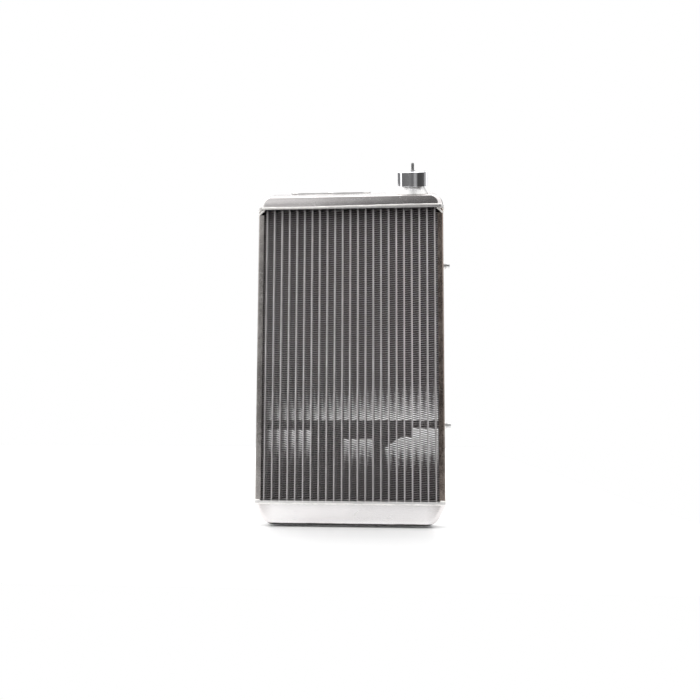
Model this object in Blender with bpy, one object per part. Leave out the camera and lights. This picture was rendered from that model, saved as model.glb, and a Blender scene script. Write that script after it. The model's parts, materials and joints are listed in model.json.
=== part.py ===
"""Small all-aluminium racing radiator, upright on its bottom tank.

Metres, +Z up, X across the width, the air enters at -Y. The origin is the centre of the
flat underside of the bottom tank. The core is brazed from upright flat tubes and folded fins
between two header plates and two side channels, with a welded tank at each end.
"""
import math

import bmesh
import bpy
from mathutils import Matrix, Vector

MM = 0.001
GAP = 0.3 * MM  # clearance kept between neighbouring pieces

# Core: upright flat tubes with folded fins between them.
TUBE_COUNT = 23
TUBE_PITCH = 10 * MM
TUBE_THICK = 2 * MM
TUBE_WALL = 0.4 * MM
TUBE_INTO_TANK = 1.5 * MM
CORE_DEPTH = 32 * MM
FIN_FOLDS = 16  # coarse folds, the real strip has about 300
FIN_SHEET = 0.5 * MM
BRAZE_BITE = 0.2 * MM  # how far a fin's crest sinks into the tube wall

# Header plates, at the two ends of the core.
HEADER_THICK = 3.5 * MM
HEADER_HALF_WIDTH = 121.5 * MM
HEADER_HALF_DEPTH = 20.5 * MM
BOTTOM_HEADER_Z = 27 * MM  # its underside
TOP_HEADER_Z = 408.2 * MM  # its underside
CORE_BOTTOM = BOTTOM_HEADER_Z + HEADER_THICK
CORE_TOP = TOP_HEADER_Z
TOP_TANK_Z = TOP_HEADER_Z + HEADER_THICK

# Side channels.
SIDE_FACE = 121 * MM  # outer face of the web
SIDE_SHEET = 1.5 * MM
SIDE_LIP = 7.3 * MM
SIDE_HALF_DEPTH = 17.8 * MM

# Tanks.
TANK_WALL = 2.5 * MM
TANK_HALF_DEPTH = 20 * MM
TANK_HALF_WIDTH = 121 * MM
TANK_FILLET = 6.5 * MM
BOTTOM_FLAT_HALF = 96 * MM
BOTTOM_ARC = 20 * MM
BOTTOM_END_SLOPE = math.radians(28.6)  # of the tank's end, from upright
TOP_FRONT_Z = 424.6 * MM
TOP_REAR_Z = 440.4 * MM
TOP_CORNER_WIDTH = 15 * MM
TOP_FOLD = 1.5 * MM  # fillet where the top sheet is folded

# Filler neck and cap, on an axis square to the sloping top.
NECK_X = 81.6 * MM
NECK_TILT = math.atan2(TOP_REAR_Z - TOP_FRONT_Z, 2 * TANK_HALF_DEPTH)
NECK_FLANGE = 19.8 * MM
NECK_OUTER = 16.7 * MM
NECK_BORE = 13.5 * MM
NECK_SEAT = 10 * MM
NECK_SEAT_HEIGHT = 9 * MM
NECK_HEIGHT = 20 * MM
NECK_SKIRT = 12.6 * MM
NECK_SKIRT_DEPTH = 3.2 * MM
CAP_RADIUS = 20.5 * MM
CAP_BOTTOM = 9.8 * MM
CAP_TOP = 28.7 * MM
CAP_CEILING = 22.3 * MM
CAP_FLUTES = 12
CAP_FLUTE_DEPTH = 1.1 * MM
CAP_CUSP_ANGLE = math.radians(17)  # first ridge, counted from the front
SEAL_THICK = 1.7 * MM
SPRING_TURNS = 3.5
SPRING_WIRE = 1.2 * MM
SPRING_RADIUS = 8.5 * MM
VALVE_BASE = 9.3 * MM  # underside of the pressure valve's gasket
NIPPLE_TOP = 39.5 * MM
NIPPLE_SHANK = 1.9 * MM
NIPPLE_BORE = 0.8 * MM
NIPPLE_COLLAR = 4 * MM

# Hose pipes, on the rear faces of the tanks.
PIPE_OUTER = 9 * MM
PIPE_WALL = 1.5 * MM
PIPE_BEAD = 0.9 * MM
PIPE_REACH = 28 * MM
INLET = Vector((58 * MM, TANK_HALF_DEPTH, 424.5 * MM))
OUTLET = Vector((-84 * MM, TANK_HALF_DEPTH, 14.5 * MM))

# Threaded bosses on the rear faces.
DRAIN = Vector((60 * MM, TANK_HALF_DEPTH, 13.5 * MM))
SENSOR = Vector((-95 * MM, TANK_HALF_DEPTH, 424 * MM))
PLUG_SHANK = 4 * MM
PLUG_HEX = 6.5 * MM  # half of the distance across the flats
BOSS_RADIUS = 7.5 * MM
BOSS_HEIGHT = 4 * MM
WASHER_THICK = 1.2 * MM

# Screws on the right-hand side channel.
SIDE_SCREW_HEIGHTS = {"upper": 334.6 * MM, "lower": 126.6 * MM}
SIDE_BOSS_RADIUS = 5.5 * MM
SIDE_BOSS_HEIGHT = 2 * MM
SIDE_WASHER_RADIUS = 4.2 * MM
SIDE_HEAD_RADIUS = 3.4 * MM
SIDE_HEAD_HEIGHT = 4.3 * MM
SIDE_SHANK = 2 * MM

# Flat brackets across the back.
STRAP_SHEET = 3 * MM
STRAP_HALF_HEIGHT = 6.6 * MM
STRAP_HALF_LENGTH = 118 * MM
STRAP_Y = SIDE_HALF_DEPTH + GAP
LEG_BOTTOM = 72 * MM
LEFT_LEG = (-54 * MM, -11 * MM)
RIGHT_LEG = (27 * MM, 44 * MM)
KNEE_DROP = 15.5 * MM  # from the lower bracket's middle line to its knee
KNEE_ENDS = (66 * MM, 79.5 * MM)
HANGER_SHEET = 2 * MM
HANGER_LEFT = -83.6 * MM
HANGER_RIGHT = 25 * MM
HANGER_TOP = 441.8 * MM
HANGER_SHELF_Z = 424 * MM
HANGER_REACH = 24 * MM
BUSH_INSET = 18 * MM  # from each end of the hanger
BUSH_HOLE = 5 * MM
BUSH_BORE = 3.25 * MM
BUSH_LIP = 7.5 * MM
BUSH_LIP_THICK = 3 * MM

ALUMINIUM = ((0.80, 0.80, 0.80, 1), 1.0, 0.32)
BRUSHED = ((0.62, 0.62, 0.63, 1), 1.0, 0.42)
FIN_GREY = ((0.33, 0.32, 0.32, 1), 1.0, 0.55)
POLISHED = ((0.86, 0.86, 0.88, 1), 1.0, 0.08)
STEEL = ((0.55, 0.55, 0.56, 1), 1.0, 0.30)
RUBBER = ((0.03, 0.03, 0.03, 1), 0.0, 0.75)
COPPER = ((0.72, 0.42, 0.28, 1), 1.0, 0.35)


def clear_scene():
    for old in list(bpy.data.objects):
        bpy.data.objects.remove(old, do_unlink=True)


def finish_of(name, look):
    """A material of the piece's own."""
    colour, metallic, roughness = look
    material = bpy.data.materials.new(name)
    material.use_nodes = True
    shader = material.node_tree.nodes["Principled BSDF"]
    shader.inputs["Base Color"].default_value = colour
    shader.inputs["Metallic"].default_value = metallic
    shader.inputs["Roughness"].default_value = roughness
    material.diffuse_color = colour
    return material


def add_object(name, data, look=None, place=None, parent=None):
    piece = bpy.data.objects.new(name, data)
    bpy.context.scene.collection.objects.link(piece)
    if look:
        piece.data.materials.clear()
        piece.data.materials.append(finish_of(name, look))
    if place is not None:
        piece.matrix_local = place
    piece.parent = parent
    return piece


def mesh_from(bm, name, smooth=False):
    bmesh.ops.recalc_face_normals(bm, faces=bm.faces)
    mesh = bpy.data.meshes.new(name)
    bm.to_mesh(mesh)
    bm.free()
    if smooth:
        mesh.shade_smooth()
        mesh.set_sharp_from_angle(angle=math.radians(32))
    return mesh


def guide(name, mesh, place=None):
    """A shape that only cuts or joins another one."""
    shape = add_object(name, mesh, place=place)
    shape.hide_render = True
    shape.display_type = "WIRE"
    return shape


def boolean(piece, other, operation):
    modifier = piece.modifiers.new(other.name, "BOOLEAN")
    modifier.operation = operation
    modifier.solver = "EXACT"
    modifier.object = other


def bridge_rings(bm, first, second):
    count = len(first)
    for i in range(count):
        j = (i + 1) % count
        bm.faces.new((first[i], first[j], second[j], second[i]))


def add_box(bm, low, high):
    middle = [(a + b) / 2 for a, b in zip(low, high)]
    size = [b - a for a, b in zip(low, high)]
    matrix = Matrix.Translation(middle) @ Matrix.Diagonal((*size, 1))
    bmesh.ops.create_cube(bm, size=1, matrix=matrix)


def prism_mesh(name, outline, start, end, axis="Y"):
    """A flat outline given length. Outline points are (x, z) along Y, or (x, y) along Z."""
    bm = bmesh.new()
    if axis == "Y":
        base = [bm.verts.new((a, start, b)) for a, b in outline]
        run = Vector((0, end - start, 0))
    else:
        base = [bm.verts.new((a, b, start)) for a, b in outline]
        run = Vector((0, 0, end - start))
    face = bm.faces.new(base)
    made = bmesh.ops.extrude_face_region(bm, geom=[face])
    moved = [item for item in made["geom"] if isinstance(item, bmesh.types.BMVert)]
    bmesh.ops.translate(bm, verts=moved, vec=run)
    return mesh_from(bm, name)


def section_mesh(name, rings):
    """A skin over a row of equal outlines, with flat ends."""
    bm = bmesh.new()
    made = [[bm.verts.new(point) for point in ring] for ring in rings]
    for first, second in zip(made, made[1:]):
        bridge_rings(bm, first, second)
    bm.faces.new(made[0])
    bm.faces.new(made[-1])
    return mesh_from(bm, name)


def spun(profile, segments, closed):
    """A bmesh turned about Z from (radius, height) points."""
    bm = bmesh.new()
    verts = [bm.verts.new((r, 0, z)) for r, z in profile]
    edges = [bm.edges.new(pair) for pair in zip(verts, verts[1:])]
    if closed:
        edges.append(bm.edges.new((verts[-1], verts[0])))
    bmesh.ops.spin(
        bm, geom=verts + edges, axis=(0, 0, 1), cent=(0, 0, 0),
        angle=math.tau, steps=segments, use_merge=True,
    )
    bmesh.ops.remove_doubles(bm, verts=bm.verts, dist=0.001 * MM)
    return bm


def turned_mesh(name, profile, segments=20, closed=True):
    return mesh_from(spun(profile, segments, closed), name, smooth=True)


def ring_mesh(name, inner, outer, bottom, top, segments=16):
    profile = [(inner, bottom), (outer, bottom), (outer, top), (inner, top)]
    return turned_mesh(name, profile, segments)


def rearward(place):
    """A frame at a point whose own Z looks out of the back of the radiator."""
    return Matrix.Translation(place) @ Matrix.Rotation(math.radians(-90), 4, "X")


def sideward(height):
    """A frame on the right side channel's face whose own Z looks out to the right."""
    spot = Vector((SIDE_FACE, 0, height))
    return Matrix.Translation(spot) @ Matrix.Rotation(math.radians(90), 4, "Y")


# ---------------------------------------------------------------- core

def tube_x(index):
    return (index - (TUBE_COUNT + 1) / 2) * TUBE_PITCH


def tube_ring(grow):
    """Cross-section of a flat tube with rounded narrow ends, shrunk by a negative grow."""
    half = TUBE_THICK / 2 + grow
    deep = CORE_DEPTH / 2 + grow
    shoulder = deep - half * 0.8
    side = [(half, -shoulder), (half, shoulder), (0, deep)]
    return side + [(-x, -y) for x, y in side]


def tube_mesh(name):
    """An open-ended flat tube, centred on X = 0."""
    low = BOTTOM_HEADER_Z - TUBE_INTO_TANK
    high = TOP_TANK_Z + TUBE_INTO_TANK
    bm = bmesh.new()
    rings = []
    for grow, height in ((0, low), (0, high), (-TUBE_WALL, high), (-TUBE_WALL, low)):
        rings.append([bm.verts.new((x, y, height)) for x, y in tube_ring(grow)])
    for first, second in zip(rings, rings[1:] + rings[:1]):
        bridge_rings(bm, first, second)
    return mesh_from(bm, name)


def fin_mesh(name, left, right):
    """A folded strip that zigzags between two values of X, from header to header."""
    bottom = CORE_BOTTOM + GAP
    rise = (CORE_TOP - GAP - bottom) / FIN_FOLDS
    heights = [bottom + i * rise for i in range(FIN_FOLDS + 1)]
    left_skin = [(right - FIN_SHEET if i % 2 else left, z) for i, z in enumerate(heights)]
    right_skin = [(x + FIN_SHEET, z) for x, z in reversed(left_skin)]
    return prism_mesh(name, left_skin + right_skin, -CORE_DEPTH / 2, CORE_DEPTH / 2)


def core_row_mesh(name, fin_left):
    """A tube with the folded fin that is brazed to its left side."""
    row = add_object(name, tube_mesh(name))
    fin_right = -TUBE_THICK / 2 + BRAZE_BITE
    fin = guide(name + "_fin", fin_mesh(name + "_fin", fin_left, fin_right))
    boolean(row, fin, "UNION")
    graph = bpy.context.evaluated_depsgraph_get()
    mesh = bpy.data.meshes.new_from_object(row.evaluated_get(graph))
    mesh.name = name
    for used in (row, fin):
        bpy.data.objects.remove(used, do_unlink=True)
    return mesh


def build_core():
    side_inner = SIDE_FACE - SIDE_SHEET - GAP
    first_x = tube_x(1)
    end_reach = -side_inner - first_x
    plain_reach = -TUBE_PITCH + TUBE_THICK / 2 + GAP
    end_mesh = core_row_mesh("core_row_end", end_reach)
    plain_mesh = core_row_mesh("core_row_plain", plain_reach)
    for index in range(1, TUBE_COUNT + 1):
        mesh = (end_mesh if index == 1 else plain_mesh).copy()
        place = Matrix.Translation((tube_x(index), 0, 0))
        add_object(f"core_row_{index:02d}", mesh, BRUSHED, place)
    last_left = tube_x(TUBE_COUNT) + TUBE_THICK / 2 + GAP
    last = fin_mesh("core_fin_last", last_left, side_inner)
    add_object("core_fin_last", last, FIN_GREY)


def build_header(name, underside):
    """A slotted plate that the tube ends stand through."""
    radius = 4 * MM
    outline = []
    for corner in range(4):
        sign_x = 1 if corner in (0, 3) else -1
        sign_y = 1 if corner in (0, 1) else -1
        for step in range(3):
            angle = math.radians(90 * corner + 45 * step)
            x = sign_x * (HEADER_HALF_WIDTH - radius) + radius * math.cos(angle)
            y = sign_y * (HEADER_HALF_DEPTH - radius) + radius * math.sin(angle)
            outline.append((x, y))
    plate = prism_mesh(name, outline, underside, underside + HEADER_THICK, axis="Z")
    header = add_object(name, plate, ALUMINIUM)
    bm = bmesh.new()
    half_wide = TUBE_THICK / 2 + GAP
    half_deep = CORE_DEPTH / 2 + GAP
    for index in range(1, TUBE_COUNT + 1):
        x = tube_x(index)
        low = (x - half_wide, -half_deep, underside - MM)
        high = (x + half_wide, half_deep, underside + HEADER_THICK + MM)
        add_box(bm, low, high)
    boolean(header, guide(name + "_slots", mesh_from(bm, name + "_slots")), "DIFFERENCE")


def build_side_plate(name, side):
    """A shallow channel folded from sheet, its lips turned in over the core's faces."""
    outer = SIDE_FACE
    inner = SIDE_FACE - SIDE_SHEET
    lip = SIDE_FACE - SIDE_LIP
    deep = SIDE_HALF_DEPTH
    floor = SIDE_HALF_DEPTH - SIDE_SHEET
    half = [(lip, deep), (lip, floor), (inner, floor)]
    outline = [(outer, -deep), (outer, deep)] + half + [(x, -y) for x, y in reversed(half)]
    outline = [(side * x, y) for x, y in outline]
    mesh = prism_mesh(name, outline, CORE_BOTTOM + GAP, CORE_TOP - GAP, axis="Z")
    plate = add_object(name, mesh, ALUMINIUM)
    if side > 0:
        for where, height in SIDE_SCREW_HEIGHTS.items():
            drill(plate, where + "_side_hole", sideward(height), SIDE_SHANK + GAP, -3 * MM, MM)


# ---------------------------------------------------------------- tanks

def drill(piece, name, place, radius, start, end):
    hole = turned_mesh(name, [(0, start), (radius, start), (radius, end), (0, end)], closed=False)
    boolean(piece, guide(name, hole, place), "DIFFERENCE")


def bottom_outline(_depth, wall):
    """Half outline of the bottom tank, (x, z, fillet), from its open top to its flat foot."""
    arc = BOTTOM_ARC - wall
    centre_z = BOTTOM_ARC
    last = math.pi / 2 - BOTTOM_END_SLOPE
    fillet = max(TANK_FILLET - wall, MM)
    open_z = BOTTOM_HEADER_Z - GAP + (2 * MM if wall else 0)
    steps = 5
    bend = []
    for i in range(steps + 1):
        angle = last * (1 - i / steps)
        bend.append((BOTTOM_FLAT_HALF + arc * math.sin(angle), centre_z - arc * math.cos(angle)))
    end_x = TANK_HALF_WIDTH - wall
    run = (end_x - bend[0][0]) / math.tan(BOTTOM_END_SLOPE)
    points = [(end_x, open_z), (end_x, bend[0][1] + run)] + bend
    return [(x, z, fillet) for x, z in points]


def top_outline(depth, wall):
    """Half outline of the top tank at a depth: its top rises towards the back."""
    part = (depth + TANK_HALF_DEPTH) / (2 * TANK_HALF_DEPTH)
    crown = TOP_FRONT_Z + (TOP_REAR_Z - TOP_FRONT_Z) * part - wall
    open_z = TOP_TANK_Z + GAP - (2 * MM if wall else 0)
    shoulder = TOP_TANK_Z + 1.5 * MM
    across = TOP_CORNER_WIDTH - wall
    flat = TANK_HALF_WIDTH - TOP_CORNER_WIDTH
    steps = 6
    points = [(flat + across, open_z, max(TANK_FILLET - wall, MM))]
    for i in range(steps + 1):
        angle = math.pi / 2 * i / steps
        x = flat + across * math.cos(angle)
        z = shoulder + (crown - shoulder) * math.sin(angle)
        fillet = TOP_FOLD + (TANK_FILLET - TOP_FOLD) * math.cos(angle)
        points.append((x, z, max(fillet - wall, 0.5 * MM)))
    return points


def mirrored(half):
    return half + [(-x, z, fillet) for x, z, fillet in reversed(half)]


def inward(points, index, open_up):
    """Unit vector into the outline at one of its points, level at the open rim."""
    count = len(points)
    x = points[index][0]
    if index in (0, 1, count - 2, count - 1):
        return Vector((-math.copysign(1, x), 0))
    before = Vector(points[index - 1][:2])
    after = Vector(points[index + 1][:2])
    along = (after - before).normalized()
    across = Vector((-along.y, along.x))
    return -across if open_up else across


def tank_mesh(name, outline_at, open_up, wall):
    """A tank body lofted from front to back, its front and back edges rounded."""
    bm = bmesh.new()
    half_deep = TANK_HALF_DEPTH - wall
    rings = []
    steps = 3
    turns = [math.pi / 2 * i / steps for i in range(steps + 1)]
    stations = [(-1, turn) for turn in turns] + [(1, turn) for turn in reversed(turns)]
    widths = [fillet for _, _, fillet in mirrored(outline_at(0, wall))]
    for face, turn in stations:
        ring = []
        for index, width in enumerate(widths):
            depth = face * (half_deep - width * (1 - math.cos(turn)))
            points = mirrored(outline_at(depth, wall))
            inset = width * (1 - math.sin(turn))
            step = inward(points, index, open_up) * inset
            x, z, _ = points[index]
            ring.append(bm.verts.new((x + step.x, depth, z + step.y)))
        rings.append(ring)
    for first, second in zip(rings, rings[1:]):
        bridge_rings(bm, first, second)
    bm.faces.new(rings[0])
    bm.faces.new(rings[-1])
    return mesh_from(bm, name, smooth=True)


def build_tank(name, outline_at, open_up):
    tank = add_object(name, tank_mesh(name, outline_at, open_up, 0), ALUMINIUM)
    inside = tank_mesh(name + "_inside", outline_at, open_up, TANK_WALL)
    boolean(tank, guide(name + "_inside", inside), "DIFFERENCE")
    return tank


def build_tanks(neck_frame):
    bottom = build_tank("bottom_tank", bottom_outline, True)
    top = build_tank("top_tank", top_outline, False)
    through = -TANK_WALL - MM
    for tank, name, place in ((top, "inlet", INLET), (bottom, "outlet", OUTLET)):
        drill(tank, name + "_hole", rearward(place), PIPE_OUTER + GAP, through, 2 * MM)
    for tank, name, place in ((bottom, "drain", DRAIN), (top, "sensor", SENSOR)):
        drill(tank, name + "_hole", rearward(place), PLUG_SHANK + GAP, through, 2 * MM)
    drill(top, "neck_hole", neck_frame, NECK_SKIRT + GAP, -NECK_SKIRT_DEPTH - MM, 2 * MM)


# ---------------------------------------------------------------- neck and cap

def build_neck(axis):
    profile = [
        (NECK_SEAT, -NECK_SKIRT_DEPTH), (NECK_SKIRT, -NECK_SKIRT_DEPTH), (NECK_SKIRT, GAP),
        (NECK_FLANGE, GAP), (NECK_FLANGE, 1.8 * MM), (NECK_OUTER, 5.5 * MM),
        (NECK_OUTER, NECK_HEIGHT), (NECK_BORE, NECK_HEIGHT),
        (NECK_BORE, NECK_SEAT_HEIGHT), (NECK_SEAT, NECK_SEAT_HEIGHT),
    ]
    add_object("filler_neck", turned_mesh("filler_neck", profile, 24), ALUMINIUM, parent=axis)


def flute(bm):
    """Press shallow finger flutes into a turned shape's outer skin."""
    for vert in bm.verts:
        radius = math.hypot(vert.co.x, vert.co.y)
        if radius < CAP_RADIUS - 2 * MM:
            continue
        angle = math.atan2(vert.co.x, -vert.co.y) - CAP_CUSP_ANGLE
        dip = CAP_FLUTE_DEPTH * abs(math.sin(CAP_FLUTES * angle / 2))
        vert.co.x *= 1 - dip / radius
        vert.co.y *= 1 - dip / radius


def build_cap(axis):
    bore = NECK_OUTER + 0.5 * MM
    stem = NIPPLE_SHANK + GAP
    chamfer = 0.6 * MM
    shell = spun([
        (bore, CAP_BOTTOM), (CAP_RADIUS - chamfer, CAP_BOTTOM), (CAP_RADIUS, CAP_BOTTOM + chamfer),
        (CAP_RADIUS, CAP_TOP - chamfer), (CAP_RADIUS - chamfer, CAP_TOP), (stem, CAP_TOP),
        (stem, CAP_CEILING), (bore, CAP_CEILING),
    ], CAP_FLUTES * 4, True)
    flute(shell)
    add_object("cap_shell", mesh_from(shell, "cap_shell", smooth=True), POLISHED, parent=axis)
    bore = NIPPLE_BORE
    shank = NIPPLE_SHANK
    foot = CAP_TOP + GAP
    nipple = turned_mesh("cap_vent_nipple", [
        (bore, CAP_CEILING), (shank, CAP_CEILING), (shank, foot), (NIPPLE_COLLAR, foot),
        (NIPPLE_COLLAR, foot + MM), (shank, foot + 1.6 * MM), (shank - 0.3 * MM, NIPPLE_TOP - 3 * MM),
        (shank, NIPPLE_TOP - 2.4 * MM), (shank - 0.6 * MM, NIPPLE_TOP), (bore, NIPPLE_TOP),
    ], 12)
    add_object("cap_vent_nipple", nipple, STEEL, parent=axis)


def build_cap_insides(axis):
    """What hangs inside the cap: seal, spring seat, spring and the two valves."""
    seal_bottom = NECK_HEIGHT + GAP
    seal = ring_mesh("cap_seal", 13.2 * MM, NECK_OUTER, seal_bottom, seal_bottom + SEAL_THICK, 20)
    add_object("cap_seal", seal, RUBBER, parent=axis)
    rim = 12.8 * MM
    vent = 1 * MM
    spigot = 2.4 * MM
    under = seal_bottom + 0.2 * MM
    over = seal_bottom + SEAL_THICK
    seat = turned_mesh("cap_spring_seat", [
        (vent, under - 2.3 * MM), (spigot, under - 2.3 * MM), (spigot, under),
        (rim, under), (rim, over), (vent, over),
    ])
    add_object("cap_spring_seat", seat, STEEL, parent=axis)
    gasket_top = VALVE_BASE + 1.2 * MM
    gasket = ring_mesh("cap_valve_gasket", 6 * MM, 12.6 * MM, VALVE_BASE, gasket_top)
    add_object("cap_valve_gasket", gasket, RUBBER, parent=axis)
    plate_bottom = gasket_top + GAP
    plate_top = plate_bottom + MM
    plate = ring_mesh("cap_pressure_valve", 2.5 * MM, 12.4 * MM, plate_bottom, plate_top)
    add_object("cap_pressure_valve", plate, STEEL, parent=axis)
    pin = 1.2 * MM
    button = plate_top + 1.9 * MM
    vacuum = turned_mesh("cap_vacuum_valve", [
        (0, VALVE_BASE), (4.8 * MM, VALVE_BASE), (4.8 * MM, gasket_top), (pin, gasket_top),
        (pin, button), (3.2 * MM, button), (3.2 * MM, button + 0.7 * MM), (0, button + 0.7 * MM),
    ], 16, closed=False)
    add_object("cap_vacuum_valve", vacuum, STEEL, parent=axis)
    build_spring(axis, plate_top + 0.2 * MM, under - 0.2 * MM)


def build_spring(axis, bottom, top):
    """A coil spring between the pressure valve and the spring seat."""
    curve = bpy.data.curves.new("cap_valve_spring", "CURVE")
    curve.dimensions = "3D"
    curve.bevel_depth = SPRING_WIRE / 2
    curve.bevel_resolution = 1
    curve.use_fill_caps = True
    spline = curve.splines.new("POLY")
    count = int(SPRING_TURNS * 12) + 1
    spline.points.add(count - 1)
    low = bottom + SPRING_WIRE / 2
    high = top - SPRING_WIRE / 2
    for i, point in enumerate(spline.points):
        part = i / (count - 1)
        angle = math.tau * SPRING_TURNS * part
        x = SPRING_RADIUS * math.cos(angle)
        y = SPRING_RADIUS * math.sin(angle)
        point.co = (x, y, low + (high - low) * part, 1)
    add_object("cap_valve_spring", curve, STEEL, parent=axis)


# ---------------------------------------------------------------- fittings

def build_pipe(name, place):
    """A hose pipe with a rolled bead near its mouth."""
    inner = PIPE_OUTER - PIPE_WALL
    start = -TANK_WALL - 2 * MM
    bead = PIPE_REACH - 5 * MM
    profile = [
        (inner, start), (PIPE_OUTER, start), (PIPE_OUTER, bead - 1.5 * MM),
        (PIPE_OUTER + PIPE_BEAD, bead), (PIPE_OUTER, bead + 1.5 * MM),
        (PIPE_OUTER, PIPE_REACH), (inner, PIPE_REACH),
    ]
    add_object(name, turned_mesh(name, profile, 20), ALUMINIUM, rearward(place))


def hex_plug(name, place, seat, head, look):
    """A plug with a hexagon head whose shank goes through its boss into the tank."""
    corner = PLUG_HEX / math.cos(math.radians(30))
    flats = [(corner * math.cos(math.tau * i / 6), corner * math.sin(math.tau * i / 6)) for i in range(6)]
    mesh = prism_mesh(name, flats, seat, seat + head, axis="Z")
    plug = add_object(name, mesh, look, place)
    end = -TANK_WALL
    shank = turned_mesh(name + "_shank", [
        (0, end), (PLUG_SHANK, end), (PLUG_SHANK, seat + MM), (0, seat + MM),
    ], 16, closed=False)
    boolean(plug, guide(name + "_shank", shank, place), "UNION")


def build_plug_set(boss, washer, plug, place):
    frame = rearward(place)
    hole = PLUG_SHANK + GAP
    boss_top = GAP + BOSS_HEIGHT
    add_object(boss, ring_mesh(boss, hole, BOSS_RADIUS, GAP, boss_top), ALUMINIUM, frame)
    washer_top = boss_top + GAP + WASHER_THICK
    ring = ring_mesh(washer, hole, BOSS_RADIUS - 0.5 * MM, boss_top + GAP, washer_top)
    add_object(washer, ring, COPPER, frame)
    hex_plug(plug, frame, washer_top + GAP, 5 * MM, STEEL)


def build_side_screw(where, height):
    """A threaded boss, a washer and a socket-head screw on the right side channel."""
    frame = sideward(height)
    hole = SIDE_SHANK + GAP
    boss_top = GAP + SIDE_BOSS_HEIGHT
    boss = where + "_side_boss"
    add_object(boss, ring_mesh(boss, hole, SIDE_BOSS_RADIUS, GAP, boss_top), ALUMINIUM, frame)
    washer_top = boss_top + GAP + WASHER_THICK
    washer = where + "_side_washer"
    ring = ring_mesh(washer, hole, SIDE_WASHER_RADIUS, boss_top + GAP, washer_top)
    add_object(washer, ring, STEEL, frame)
    seat = washer_top + GAP
    top = seat + SIDE_HEAD_HEIGHT
    name = where + "_side_screw"
    socket = 1.5 * MM
    profile = [
        (0, -SIDE_SHEET + 0.1 * MM), (SIDE_SHANK, -SIDE_SHEET + 0.1 * MM), (SIDE_SHANK, seat),
        (SIDE_HEAD_RADIUS, seat), (SIDE_HEAD_RADIUS, top - 0.4 * MM), (SIDE_HEAD_RADIUS - 0.4 * MM, top),
        (socket, top), (socket, top - 2 * MM), (0, top - 2 * MM),
    ]
    add_object(name, turned_mesh(name, profile, 12, closed=False), STEEL, frame)


def build_rear_brackets():
    """Two flat bars welded across the back lips, the lower one with a legged plate."""
    upper = SIDE_SCREW_HEIGHTS["upper"]
    lower = SIDE_SCREW_HEIGHTS["lower"]
    half = STRAP_HALF_HEIGHT
    end = STRAP_HALF_LENGTH
    bar = [(-end, upper - half), (end, upper - half), (end, upper + half), (-end, upper + half)]
    mesh = prism_mesh("upper_rear_strap", bar, STRAP_Y, STRAP_Y + STRAP_SHEET)
    add_object("upper_rear_strap", mesh, ALUMINIUM)
    top = lower + half
    foot = lower - half
    knee = lower - KNEE_DROP
    web = knee - 3 * MM
    gusset = knee - 14 * MM
    outline = [
        (-end, top), (-end, foot), (LEFT_LEG[0], foot), (LEFT_LEG[0], LEG_BOTTOM),
        (LEFT_LEG[1], LEG_BOTTOM), (LEFT_LEG[1], web), (RIGHT_LEG[0], web),
        (RIGHT_LEG[0], LEG_BOTTOM), (RIGHT_LEG[1], LEG_BOTTOM), (RIGHT_LEG[1], gusset),
        (KNEE_ENDS[0], knee), (KNEE_ENDS[1], knee), (KNEE_ENDS[1], foot + 3 * MM),
        (end, foot + 1.5 * MM), (end, top),
    ]
    mesh = prism_mesh("lower_rear_bracket", outline, STRAP_Y, STRAP_Y + STRAP_SHEET)
    add_object("lower_rear_bracket", mesh, ALUMINIUM)


def build_hanger():
    """An angle bracket on the back of the top tank, with two rubber bushes in its shelf."""
    wall = TANK_HALF_DEPTH + GAP
    sheet = HANGER_SHEET
    reach = wall + HANGER_REACH
    low = HANGER_SHELF_Z
    profile = [
        (wall, low), (reach, low), (reach, low + sheet), (wall + sheet, low + sheet),
        (wall + sheet, HANGER_TOP), (wall, HANGER_TOP),
    ]
    ends = (HANGER_LEFT, HANGER_RIGHT)
    mesh = section_mesh("rear_hanger", [[(x, y, z) for y, z in profile] for x in ends])
    hanger = add_object("rear_hanger", mesh, ALUMINIUM)
    middle = wall + sheet + (HANGER_REACH - sheet) / 2
    for side, x in (("left", HANGER_LEFT + BUSH_INSET), ("right", HANGER_RIGHT - BUSH_INSET)):
        place = Matrix.Translation((x, middle, low))
        drill(hanger, f"bush_hole_{side}", place, BUSH_HOLE, -MM, sheet + MM)
        name = f"hanger_bush_{side}"
        waist = BUSH_HOLE - GAP
        lip = BUSH_LIP
        thick = BUSH_LIP_THICK
        bore = BUSH_BORE
        bush = turned_mesh(name, [
            (bore, -thick), (lip - MM, -thick), (lip, MM - thick), (lip, -GAP), (waist, -GAP),
            (waist, sheet + GAP), (lip, sheet + GAP), (lip, sheet + thick - MM),
            (lip - MM, sheet + thick), (bore, sheet + thick),
        ], 16)
        add_object(name, bush, RUBBER, place)


def main():
    clear_scene()
    axis = bpy.data.objects.new("cap_axis", None)
    bpy.context.scene.collection.objects.link(axis)
    slope_middle = (TOP_FRONT_Z + TOP_REAR_Z) / 2
    neck_frame = Matrix.Translation((NECK_X, 0, slope_middle)) @ Matrix.Rotation(NECK_TILT, 4, "X")
    axis.matrix_world = neck_frame
    build_core()
    build_header("bottom_header", BOTTOM_HEADER_Z)
    build_header("top_header", TOP_HEADER_Z)
    build_side_plate("side_plate_left", -1)
    build_side_plate("side_plate_right", 1)
    build_tanks(neck_frame)
    build_neck(axis)
    build_cap(axis)
    build_cap_insides(axis)
    build_pipe("inlet_pipe", INLET)
    build_pipe("outlet_pipe", OUTLET)
    build_plug_set("drain_boss", "drain_washer", "drain_plug", DRAIN)
    build_plug_set("sensor_boss", "sensor_washer", "sensor_plug", SENSOR)
    for where, height in SIDE_SCREW_HEIGHTS.items():
        build_side_screw(where, height)
    build_rear_brackets()
    build_hanger()


main()
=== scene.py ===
import json
import math
import random

import bmesh
import bpy
import numpy as np
from mathutils import Matrix, Vector, noise

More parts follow.
